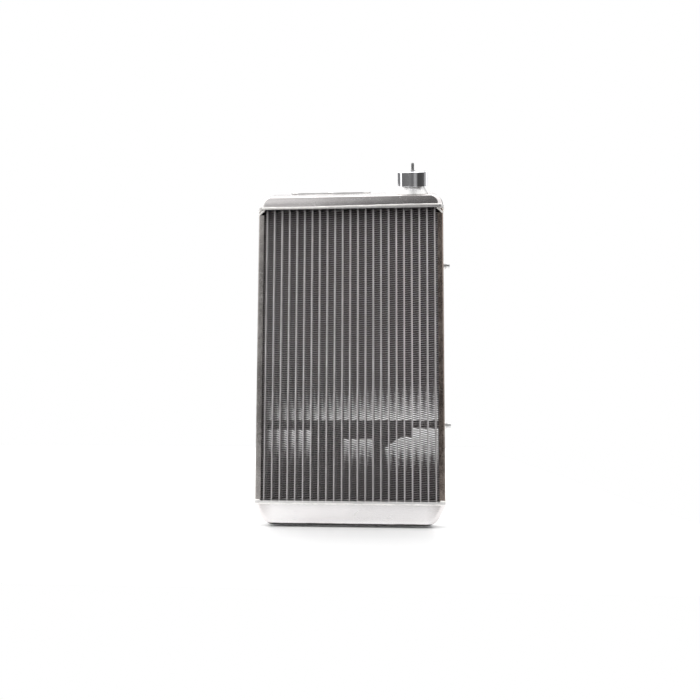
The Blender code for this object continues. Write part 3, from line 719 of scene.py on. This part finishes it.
def tank_mesh(name, half_at, open_up, wall):
    """A tank body lofted from front to back with rounded front and back edges."""
    def outline(depth):
        half = half_at(depth, wall)
        return half + [(-x, z, fillet) for x, z, fillet in reversed(half)]

    def inward(points, index):
        if index in (0, 1, len(points) - 2, len(points) - 1):
            return Vector((-math.copysign(1, points[index][0]), 0))
        along = (Vector(points[index + 1][:2]) - Vector(points[index - 1][:2])).normalized()
        return Vector((along.y, -along.x)) if open_up else Vector((-along.y, along.x))

    half_deep = TANK_HALF_DEPTH - wall
    steps = 7
    turns = [math.pi / 2 * i / steps for i in range(steps + 1)]
    stations = [(-1, turn) for turn in turns] + [(1, turn) for turn in reversed(turns)]
    widths = [fillet for _, _, fillet in outline(0)]
    loops = []
    for face, turn in stations:
        loop = []
        for index, width in enumerate(widths):
            depth = face * (half_deep - width * (1 - math.cos(turn)))
            points = outline(depth)
            step = inward(points, index) * width * (1 - math.sin(turn))
            loop.append((points[index][0] + step.x, depth, points[index][1] + step.y))
        loops.append(loop)
    return loops_mesh(name, loops)


def hole(matrix, radius, start, end):
    """A round cutter, sizes in millimetres."""
    return turned("hole", [(0, start), (radius, start), (radius, end), (0, end)], 48, False, matrix)


def make_tanks():
    """Both tank shells, hollow, with holes for the pipes, the plugs and the neck."""
    pipe, plug, neck = 9.15, 4.15, 12.8
    bottom_holes = [(rearward("outlet_pipe"), pipe), (rearward("drain_boss"), plug)]
    top_holes = [(rearward("inlet_pipe"), pipe), (rearward("sensor_boss"), plug), (NECK_FRAME, neck)]
    tanks = {
        "bottom_tank": (bottom_half, True, BOTTOM_TANK_LIT_SHEET, bottom_holes),
        "top_tank": (top_half, False, TANK, top_holes),
    }
    for node, (half_at, open_up, look, openings) in tanks.items():
        name = node + "_shell"
        shell = piece(name, tank_mesh(name, half_at, open_up, 0), look, replaces=[node])
        drills = [hole(matrix, radius, -6, 3) for matrix, radius in openings]
        cut(shell, tank_mesh("inside", half_at, open_up, TANK_WALL), *drills)


# ------------------------------------------------------------------ welds

RIPPLE_STEPS = 5
RIPPLE_SWELL = 0.16
UNEVEN_SWELL = 0.18
WELD_SIDES = 8


def resample(path, step, closed):
    """Even steps along a route of points."""
    route = [Vector(point) for point in path] + ([Vector(path[0])] if closed else [])
    spans = [(b - a).length for a, b in zip(route, route[1:])]
    total = sum(spans)
    count = max(4, int(total / step))
    made = []
    for i in range(count if closed else count + 1):
        target = total * i / count
        index = 0
        while index < len(spans) - 1 and target > spans[index]:
            target -= spans[index]
            index += 1
        made.append(route[index].lerp(route[index + 1], target / max(spans[index], 1e-9)))
    return made


def weld(name, path, radius, seed, closed=True, ripple=1.5 * MM, wander=0.25 * MM):
    """A hand-laid bead: overlapping ripples of slightly uneven width on a wandering line."""
    points = resample(path, ripple / RIPPLE_STEPS, closed)
    count = len(points)
    loops = []
    for i, point in enumerate(points):
        before = points[i - 1] if closed or i else point
        after = points[(i + 1) % count] if closed or i < count - 1 else point
        along = (after - before).normalized()
        across = along.cross(Vector((0, 0, 1)))
        across = (across if across.length > 0.2 else along.cross(Vector((0, 1, 0)))).normalized()
        upward = across.cross(along)
        place = point * 90 + Vector((seed * 7.3, 0, 0))
        drift = Vector([noise.noise(place + Vector(apart)) for apart in ((0, 0, 0), (0, 9, 0), (0, 0, 9))])
        part = i / RIPPLE_STEPS % 1
        scallop = math.sqrt(1 - (2 * part - 1) ** 2) - 0.7
        uneven = noise.noise(point * 160 + Vector((seed, 0, 0)))
        swell = 1 + RIPPLE_SWELL * scallop + UNEVEN_SWELL * uneven
        end = 1.0 if closed else min(1.0, 0.35 + min(i, count - 1 - i) * 0.16)
        loops.append(wheel(point + drift * wander, across, upward, radius * swell * end, WELD_SIDES))
    mesh = loops_mesh(name, loops, closed=closed)
    keep_in_box(mesh)
    piece(name, mesh, WELD)
    mesh.set_sharp_from_angle(angle=math.radians(70))


def ring_path(matrix, radius, height):
    spots = [(radius * math.cos(turn), radius * math.sin(turn), height) for turn in around(40)]
    return [matrix @ Vector(spot) for spot in spots]


def make_seam_welds():
    """The long beads that join each tank to its header. The upper one sags towards the left."""
    seam = rounded_rectangle(TANK_HALF_WIDTH - 0.3 * MM, TANK_HALF_DEPTH - 0.1 * MM, TANK_FILLET)
    weld("bottom_seam_weld", [(x, y, BOTTOM_SEAM) for x, y in seam], 0.9 * MM, 1)
    long_seam = resample([(x, y, 0) for x, y in seam], 4 * MM, True)
    sag_from, sag_over, most = 80 * MM, 140 * MM, 1.9 * MM
    drop = [most * min(1, max(0, (sag_from - point.x) / sag_over)) for point in long_seam]
    line = [(p.x, p.y * 1.012, TOP_SEAM + 0.2 * MM - sag) for p, sag in zip(long_seam, drop)]
    weld("top_seam_weld", line, 1.1 * MM, 2, wander=0.4 * MM)


def make_channel_welds():
    """Beads around the ends of the side channels, and along their notched corners."""
    lip = SIDE_LIP + 0.5 * MM
    face = SIDE_FACE - 0.2 * MM
    deep = SIDE_DEPTH - 0.2 * MM
    for side, side_name in ((-1, "left"), (1, "right")):
        for height, end_name in ((CORE_BOTTOM + 0.3 * MM, "bottom"), (CORE_TOP - 0.3 * MM, "top")):
            front = [(lip, -deep), (face - MM, -deep), (face, -deep + MM)]
            rear = [(x, -y) for x, y in reversed(front)]
            path = [(side * x, y, height) for x, y in front + rear]
            weld(f"{end_name}_{side_name}_corner_weld", path, 1.25 * MM, 5 + side, closed=False)
        for depth, face_name in ((-deep - 0.3 * MM, "front"), (deep + 0.3 * MM, "rear")):
            gusset = ((112.5, 0), (116.5, 3.4), (120.3, 7.6))
            path = [(side * x * MM, depth, CORE_TOP - drop * MM) for x, drop in gusset]
            weld(f"{face_name}_{side_name}_gusset_weld", path, 1.2 * MM, 60 + side, closed=False)


def make_fitting_welds():
    """Round beads at the roots of the neck, the pipes and the bosses."""
    weld("neck_weld", ring_path(NECK_FRAME, 19.6 * MM, 0.2 * MM), 0.6 * MM, 11)
    for node, seed in (("inlet_pipe", 12), ("outlet_pipe", 13)):
        weld(f"{node}_weld", ring_path(rearward(node), 9.4 * MM, 0.3 * MM), 1.0 * MM, seed)
    for node, seed in (("drain_boss", 14), ("sensor_boss", 15)):
        weld(f"{node}_weld", ring_path(rearward(node), 7.6 * MM, 0.4 * MM), 0.8 * MM, seed, ripple=1.2 * MM)


# ------------------------------------------------------------------ neck and cap

def make_neck():
    profile = [
        (10, -3.2), (12.6, -3.2), (12.6, 0.3), (19.6, 0.3), (19.75, 0.45), (19.75, 0.7), (19.6, 1.0),
        (18.9, 2.1), (18.1, 3.5), (17.2, 5.0), (16.2, 6.6), (15.6, 7.6), (15.4, 8.6), (15.4, 14), (16.7, 15),
        (16.7, 19.4), (16.3, 20), (13.8, 20),
        (13.5, 19.7), (13.5, 9.2), (13.3, 9), (10.3, 9), (10, 8.7),
    ]
    mesh = turned("neck_tube", profile, 96, matrix=NECK_FRAME)
    piece("neck_tube", mesh, NECK_LIT_CASTING, replaces=["filler_neck"])


CAP_RADIUS = 20.5 * MM
CAP_FLUTES = 12
FLUTE_HOLLOW = 0.6 * MM
RIDGE_LAND = 0.1 * MM
CUSP_ANGLE = math.radians(17)
CAP_BOTTOM = 9.8 * MM


def fluted(radius, height, angle):
    """Outer skin of the cap: hollow thumb flutes that meet in narrow ridges."""
    if radius < CAP_RADIUS - 2.2 * MM or height < CAP_BOTTOM:
        return radius
    half = math.pi / CAP_FLUTES
    turn = (angle - CUSP_ANGLE) % (2 * half) - half
    chord = CAP_RADIUS * math.cos(half) / math.cos(turn)
    skin = chord - FLUTE_HOLLOW * (1 - (turn / half) ** 2)
    return radius - CAP_RADIUS + min(skin, CAP_RADIUS - RIDGE_LAND)


def make_cap():
    bore, stem = 17.2, 2.2
    side = [(20.2, 9.8), (20.42, 9.9), (20.5, 10.1)]
    side += [(20.5, 10.4 + 17.5 * i / 14) for i in range(15)]
    side += [(20.4, 28.15), (20.2, 28.38), (19.9, 28.58), (19.4, 28.7)]
    top = [(15.5, 28.7), (15.2, 28.6), (14.9, 28.2), (14.6, 28.1)]
    top += [(7.2, 28.1), (6.9, 28.2), (6.6, 28.6), (6.3, 28.7)]
    inside = [(stem, 28.7), (stem, 22.3), (bore - 0.4, 22.3), (bore, 22.0)]
    for i in range(4):
        z = 21.0 - 2 * i
        inside += [(bore, z), (bore + 0.5, z - 0.5), (bore + 0.5, z - 0.9), (bore, z - 1.4)]
    profile = [(bore, 10.1), (bore + 0.3, 9.8)] + side + top + inside
    mesh = turned("cap_fluted_shell", profile, CAP_FLUTES * 24, matrix=NECK_FRAME, shape_radius=fluted)
    keep_in_box(mesh)
    piece("cap_fluted_shell", mesh, POLISHED, body="cap", replaces=["cap_shell"])
    nipple = [
        (0.8, 22.3), (1.9, 22.3), (1.9, 28.95), (3.7, 29.05), (3.95, 29.25), (3.95, 29.5), (3.6, 29.8),
        (2.4, 29.95), (2.1, 30.3), (1.98, 30.9), (1.92, 36.2), (1.95, 36.6), (2.0, 37.1), (1.97, 37.6),
        (1.75, 39.1), (1.5, 39.45), (1.0, 39.5), (0.8, 39.4),
    ]
    mesh = turned("vent_nipple", nipple, 40, matrix=NECK_FRAME)
    keep_in_box(mesh)
    piece("vent_nipple", mesh, NIPPLE, body="cap", replaces=["cap_vent_nipple"])


def make_spring():
    """A coil spring with closed ends, its lower end on the pressure valve and its upper end on the cap."""
    wire = 0.55 * MM
    radius, turns, steps = 8.5 * MM, 3.5, 32
    bottom, top = 12.0 * MM + wire, 20.3 * MM - wire
    count = int(turns * steps)
    line = []
    for i in range(count + 1):
        part = i / count
        rise = min(max((part - 0.1) / 0.8, 0), 1)
        angle = math.tau * turns * part
        height = bottom + (top - bottom) * rise
        line.append(Vector((radius * math.cos(angle), radius * math.sin(angle), height)))
    loops = []
    for i, point in enumerate(line):
        along = (line[min(i + 1, count)] - line[max(i - 1, 0)]).normalized()
        out = Vector((point.x, point.y, 0)).normalized()
        loops.append(wheel(point, out, along.cross(out), wire, 12))
    mesh = loops_mesh("valve_spring_coil", loops, matrix=NECK_FRAME)
    coil = piece("valve_spring_coil", mesh, ZINC, body=None, replaces=["cap_valve_spring"])
    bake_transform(coil)


def finish_hidden_parts():
    """The other pieces inside the cap keep their solids' shapes."""
    looks = {
        "cap_seal": RUBBER, "cap_valve_gasket": RUBBER, "cap_spring_seat": ZINC,
        "cap_pressure_valve": ZINC, "cap_vacuum_valve": ZINC,
    }
    for node, look in looks.items():
        materials = frame["nodes"][node].data.materials
        materials.clear()
        materials.append(look)


# ------------------------------------------------------------------ fittings at the back and side

def make_pipes():
    for node in ("inlet_pipe", "outlet_pipe"):
        bead = arc((23, 8.6), 1.3, 160, 20, 8)
        profile = [(7.5, -4.5), (9, -4.5), (9, 21)] + [(r, z) for z, r in bead]
        profile += [(9, 25.2), (9, 27.5), (8.7, 28), (7.8, 28), (7.5, 27.7)]
        mesh = turned(node + "_tube", profile, 64, matrix=rearward(node))
        piece(node + "_tube", mesh, CAST, replaces=[node])


def ring(name, inner, outer, start, end, matrix, edge=0.25):
    """A washer or boss with its edges broken, sizes in millimetres."""
    profile = [
        (inner, start + edge / 2), (inner + edge / 2, start), (outer - edge, start), (outer, start + edge),
        (outer, end - edge), (outer - edge, end), (inner + edge / 2, end), (inner, end - edge / 2),
    ]
    return turned(name, profile, 48, matrix=matrix)


def hex_head(name, across, shank, start, end, deep, matrix):
    """A hexagon plug head with a turned chamfer, and its shank, sizes in millimetres."""
    flat = across / 2

    def six_sided(radius, height, angle):
        if radius <= shank * MM:
            return radius
        turn = (angle + math.pi / 6) % (math.pi / 3) - math.pi / 6
        return min(radius, flat * MM / math.cos(turn))

    corner = flat / math.cos(math.pi / 6)
    washer_face = flat - 0.4
    profile = [
        (0, -deep), (shank - 0.6, -deep), (shank, -deep + 0.6), (shank, start), (washer_face, start),
        (washer_face, start + 0.4), (corner, start + 0.6), (corner, end - 0.9), (corner - 0.3, end - 0.5),
        (washer_face, end), (0, end),
    ]
    return turned(name, profile, 96, False, matrix, six_sided)


def make_plugs():
    """The drain's and the sensor's bosses, washers and plugs. Only the drain's washer and plug move."""
    bodies = {"drain": ("drain_washer", "drain_plug"), "sensor": ("root", "root")}
    for kind, (washer_body, plug_body) in bodies.items():
        matrix = rearward(kind + "_boss")
        mesh = ring(kind + "_boss_ring", 4.3, 7.5, 0.3, 4.3, matrix, 0.5)
        piece(kind + "_boss_ring", mesh, CAST, replaces=[kind + "_boss"])
        mesh = ring(kind + "_seal_washer", 4.3, 7.0, 4.6, 5.8, matrix)
        piece(kind + "_seal_washer", mesh, COPPER, washer_body, [kind + "_washer"])
        mesh = hex_head(kind + "_hex_plug", 13, 4, 6.1, 11.1, 2.5, matrix)
        piece(kind + "_hex_plug", mesh, ZINC, plug_body, [kind + "_plug"])


def make_side_screws():
    for where in ("upper", "lower"):
        node = where + "_side_screw"
        spot = (SIDE_FACE, 0, middle(node).z)
        matrix = Matrix.Translation(spot) @ Matrix.Rotation(math.radians(90), 4, "Y")
        mesh = ring(where + "_boss_ring", 2.3, 5.5, 0.3, 2.3, matrix, 0.4)
        piece(where + "_boss_ring", mesh, CAST, replaces=[where + "_side_boss"])
        mesh = ring(where + "_screw_washer", 2.3, 4.2, 2.6, 3.8, matrix, 0.2)
        piece(where + "_screw_washer", mesh, ZINC, replaces=[where + "_side_washer"])
        profile = [
            (0, -1.4), (1.6, -1.4), (2, -1.0), (2, 4.1), (3.3, 4.1), (3.4, 4.2), (3.4, 7.9), (3.25, 8.25),
            (2.95, 8.4), (0, 8.4),
        ]
        mesh = turned(where + "_cap_screw", profile, 48, False, matrix)
        screw = piece(where + "_cap_screw", mesh, ZINC, replaces=[node])
        socket = 1.5 / math.cos(math.pi / 6) * MM
        outline = [(socket * math.cos(turn), socket * math.sin(turn)) for turn in around(6)]
        cut(screw, prism("socket", outline, 6.4 * MM, 9 * MM, axis="Z", matrix=matrix))
        weld(where + "_boss_weld", ring_path(matrix, 5.6 * MM, 0.35 * MM), 0.6 * MM, 20, ripple=1.1 * MM)


def make_brackets():
    """The strap and the flat bracket across the back, and the beads that hold them."""
    strap_low, strap_high = low("upper_rear_strap"), high("upper_rear_strap")
    front, back = strap_low.y, strap_high.y
    centre = middle("upper_rear_strap")
    half = strap_high - centre
    outline = [(centre.x + x, centre.z + z) for x, z in rounded_rectangle(half.x, half.z, 2 * MM, 4)]
    mesh = prism("upper_strap_bar", outline, front, back)
    strap = piece("upper_strap_bar", mesh, BRACKET, replaces=["upper_rear_strap"])
    soften(strap, 0.35 * MM)
    box_low, box_high = low("lower_rear_bracket"), high("lower_rear_bracket")
    top, leg, end = box_high.z, box_low.z, box_high.x
    foot = top - 13.2 * MM
    knee = top - 22.1 * MM
    brow = knee - 3 * MM
    wide_leg = (-54 * MM, -11 * MM)
    narrow_leg = (27 * MM, 44 * MM)
    arm = (66 * MM, 79.5 * MM)
    outline = [
        (-end, top), (-end, foot), (wide_leg[0], foot), (wide_leg[0], leg), (wide_leg[1], leg),
        (wide_leg[1], brow), (narrow_leg[0], brow), (narrow_leg[0], leg),
        (narrow_leg[1], leg), (narrow_leg[1], knee - 14 * MM), (arm[0], knee), (arm[1], knee),
        (arm[1], foot + 3 * MM), (end, foot + 1.5 * MM), (end, top),
    ]
    mesh = prism("lower_bracket_plate", outline, front, back)
    plate = piece("lower_bracket_plate", mesh, BRACKET, replaces=["lower_rear_bracket"])
    soften(plate, 0.35 * MM)
    seed = 30
    for height in (centre.z, top - 6.6 * MM):
        for side in (-1, 1):
            for edge in (-1, 1):
                z = height + edge * 6.2 * MM
                path = [(side * x * MM, SIDE_DEPTH + 0.5 * MM, z) for x in (114.2, 117.6)]
                seed += 1
                weld(f"strap_weld_{seed}", path, 0.9 * MM, seed, closed=False, ripple=1.2 * MM)


def make_hanger():
    """Angle bracket with a rounded bend, and its two grooved bushes."""
    box_low, box_high = low("rear_hanger"), high("rear_hanger")
    sheet = 2 * MM
    bend = 3.5 * MM
    wall, shelf = box_low.y, box_low.z
    centre = (wall + bend, shelf + bend)
    outer = arc(centre, bend, 180, 270, 6)
    inner = arc(centre, bend - sheet, 270, 180, 6)
    profile = [(wall, box_high.z)] + outer + [(box_high.y, shelf), (box_high.y, shelf + sheet)] + inner
    profile += [(wall + sheet, box_high.z)]
    loops = [[(x, y, z) for y, z in profile] for x in (box_low.x, box_high.x)]
    mesh = loops_mesh("hanger_angle", loops)
    hanger = piece("hanger_angle", mesh, BRACKET, replaces=["rear_hanger"])
    drills = []
    for side in ("left", "right"):
        node = f"hanger_bush_{side}"
        matrix = Matrix.Translation((*middle(node).xy, shelf))
        drills.append(hole(matrix, 5, -1, 3))
        profile = [(3.25, -2.6), (3.6, -3), (6.4, -3), (7.1, -2.7), (7.5, -2), (7.5, -0.6), (7.2, -0.3)]
        profile += [(4.7, -0.3), (4.7, 2.3), (7.2, 2.3), (7.5, 2.6), (7.5, 4), (7.1, 4.7), (6.4, 5)]
        profile += [(3.6, 5), (3.25, 4.6)]
        mesh = turned(node + "_rubber", profile, 48, matrix=matrix)
        piece(node + "_rubber", mesh, RUBBER, replaces=[node])
    soften(cut(hanger, *drills), 0.3 * MM)
    for index, x in enumerate((-78, -30, 19)):
        path = [((x + reach) * MM, wall + 0.2 * MM, box_high.z - 0.9 * MM) for reach in (-4, 4)]
        weld(f"hanger_weld_{index + 1}", path, 0.8 * MM, 40 + index, closed=False, wander=0.1 * MM)


# ------------------------------------------------------------------ studio

CAMERA_PLACE = (0.0794, -1.0502, 0.1264)
CAMERA_TURN = (4.38, 5.306, 0.1835)
FLOOR_CORNERS = ((-2.5, -0.4), (0.45, -0.4), (0.45, 3.5), (-2.5, 3.5))
FLOOR_DROP = 2.2 * MM


def make_camera():
    data = bpy.data.cameras.new("camera")
    data.lens = 41.54
    data.sensor_width = 36
    camera = placed("camera", data)
    camera.location = CAMERA_PLACE
    yaw, pitch, roll = (math.radians(turn) for turn in CAMERA_TURN)
    upright = Matrix.Rotation(yaw, 3, "Z") @ Matrix.Rotation(math.radians(90) + pitch, 3, "X")
    camera.rotation_euler = (upright @ Matrix.Rotation(roll, 3, "Z")).to_euler()
    data.clip_start = 0.01
    data.clip_end = 50
    bpy.context.scene.camera = camera


def make_floor():
    made = Finish("studio_paper", metallic=0.0)
    grain = made.noise(400, 3)
    tone = made.ramp(grain, ((0.3, 0.93), (0.7, 0.95)))
    paper = made.coated(tone, made.ranged(grain, 0.3, 0.7, 0.28, 0.36))
    mesh = bpy.data.meshes.new("studio_floor")
    floor_z = CAD_BOX[0].z - FLOOR_DROP
    mesh.from_pydata([(x, y, floor_z) for x, y in FLOOR_CORNERS], [], [(0, 1, 2, 3)])
    mesh.materials.append(paper)
    floor = placed("studio_floor", mesh)


def make_lights():
    sun = bpy.data.lights.new("overhead_softbox", "SUN")
    sun.energy = 1.5
    sun.angle = math.radians(70)
    placed("overhead_softbox", sun).rotation_euler = (math.radians(-14), math.radians(-6), 0)


def make_world():
    """A white studio behind, above and at the left, and a dim room in front."""
    world = bpy.data.worlds.new("studio")
    bpy.context.scene.world = world
    made = Nodes(world)
    background = made.tree.nodes["Background"]
    maths = made.math

    def blend(first, second, factor):
        return made.add("ShaderNodeMix", {0: factor, 2: first, 3: second}, data_type="FLOAT").outputs[0]

    def over_angle(angle, span, stops):
        """Brightness along an angle in degrees, read off a row of (degrees, value) stops."""
        node = made.add("ShaderNodeFloatCurve")
        curve = node.mapping.curves[0]
        top = max(value for _, value in stops)
        while len(curve.points) < len(stops):
            curve.points.new(0.5, 0.5)
        for point, (degrees, value) in zip(curve.points, stops):
            point.location = ((degrees + span) / (2 * span), value / top)
            point.handle_type = "VECTOR"
        node.mapping.update()
        made.link(maths("DIVIDE", maths("ADD", angle, span), 2 * span), node.inputs["Value"])
        return maths("MULTIPLY", node.outputs[0], top)

    sight = made.add("ShaderNodeTexCoord").outputs["Generated"]
    x, y, z = made.add("ShaderNodeSeparateXYZ", {0: sight}).outputs
    degree = 180 / math.pi
    turn = maths("MULTIPLY", maths("ARCTAN2", x, maths("MULTIPLY", y, -1.0)), degree)
    lift = maths("MULTIPLY", maths("ARCSINE", z), degree)
    upper = over_angle(turn, 180, UPPER_ROOM)
    lower = over_angle(turn, 180, LOWER_ROOM)
    front_zone = over_angle(turn, 180, FRONT_ZONE)
    rise = over_angle(lift, 90, FRONT_RISE)
    upper = maths("MULTIPLY", upper, blend(1.0, rise, front_zone))
    over_horizon = maths("SUBTRACT", lift, over_angle(turn, 180, HORIZON))
    room = blend(lower, upper, over_angle(over_horizon, 90, ((-90, 0), (-15, 0), (-8, 1), (90, 1))))
    total = maths("MAXIMUM", room, over_angle(lift, 90, OVERHEAD))
    seen = made.add("ShaderNodeLightPath").outputs["Is Camera Ray"]
    made.link(blend(total, 1.0, seen), background.inputs["Strength"])
    background.inputs["Color"].default_value = (1, 1, 1, 1)


# The studio by turn (from the front, right is positive) or by lift, in degrees. The horizon is the lift where
# the upper room starts, the front zone is where the rise applies, and the others give brightness.
UPPER_ROOM = (
    (-180, 0.9), (-148, 0.9), (-134, 1.6), (-62, 1.5), (-40, 1.3), (-22, 1.2), (-11, 0.78), (-5, 0.42),
    (0, 0.25), (3, 0.18), (9, 0.13), (20, 0.2), (34, 1.1), (80, 1.1), (120, 1.2), (127, 0.3), (156, 0.3),
    (166, 0.9), (180, 0.9),
)
LOWER_ROOM = (
    (-180, 1.2), (-132, 1.4), (-126, 1.3), (-118, 0.24), (-84, 0.2), (-45, 0.17), (-24, 0.17), (-18, 0.2),
    (-14, 0.4), (-5, 0.4), (0, 0.24), (6, 0.16), (18, 0.17), (28, 0.24), (34, 0.24), (39, 0.11), (64, 0.07),
    (90, 0.065), (98, 0.1), (106, 1.2), (180, 1.2),
)
HORIZON = (
    (-180, 0), (-126, 0), (-120, 21), (-50, 21), (-35, 0), (35, 0), (50, 21), (98, 21), (104, 0), (180, 0),
)
FRONT_ZONE = ((-180, 0), (-45, 0), (-30, 1), (15, 1), (30, 0), (180, 0))
FRONT_RISE = (
    (-90, 0.5), (-5, 0.48), (-2, 0.36), (2, 0.28), (5.5, 0.21), (9, 0.31), (11, 0.42), (14, 0.52), (16, 0.72),
    (20, 0.9), (90, 1.1),
)
OVERHEAD = ((-90, 0), (26, 0), (40, 1.3), (90, 1.3))


def make_studio():
    make_camera()
    make_floor()
    make_lights()
    make_world()
    view = bpy.context.scene.view_settings
    view.view_transform = "Standard"
    view.look = "None"


make_studio()
make_tubes()
make_fins()
make_headers()
make_side_channels()
make_tanks()
make_neck()
make_cap()
make_spring()
finish_hidden_parts()
make_pipes()
make_plugs()
make_side_screws()
make_brackets()
make_hanger()
make_seam_welds()
make_channel_welds()
make_fitting_welds()
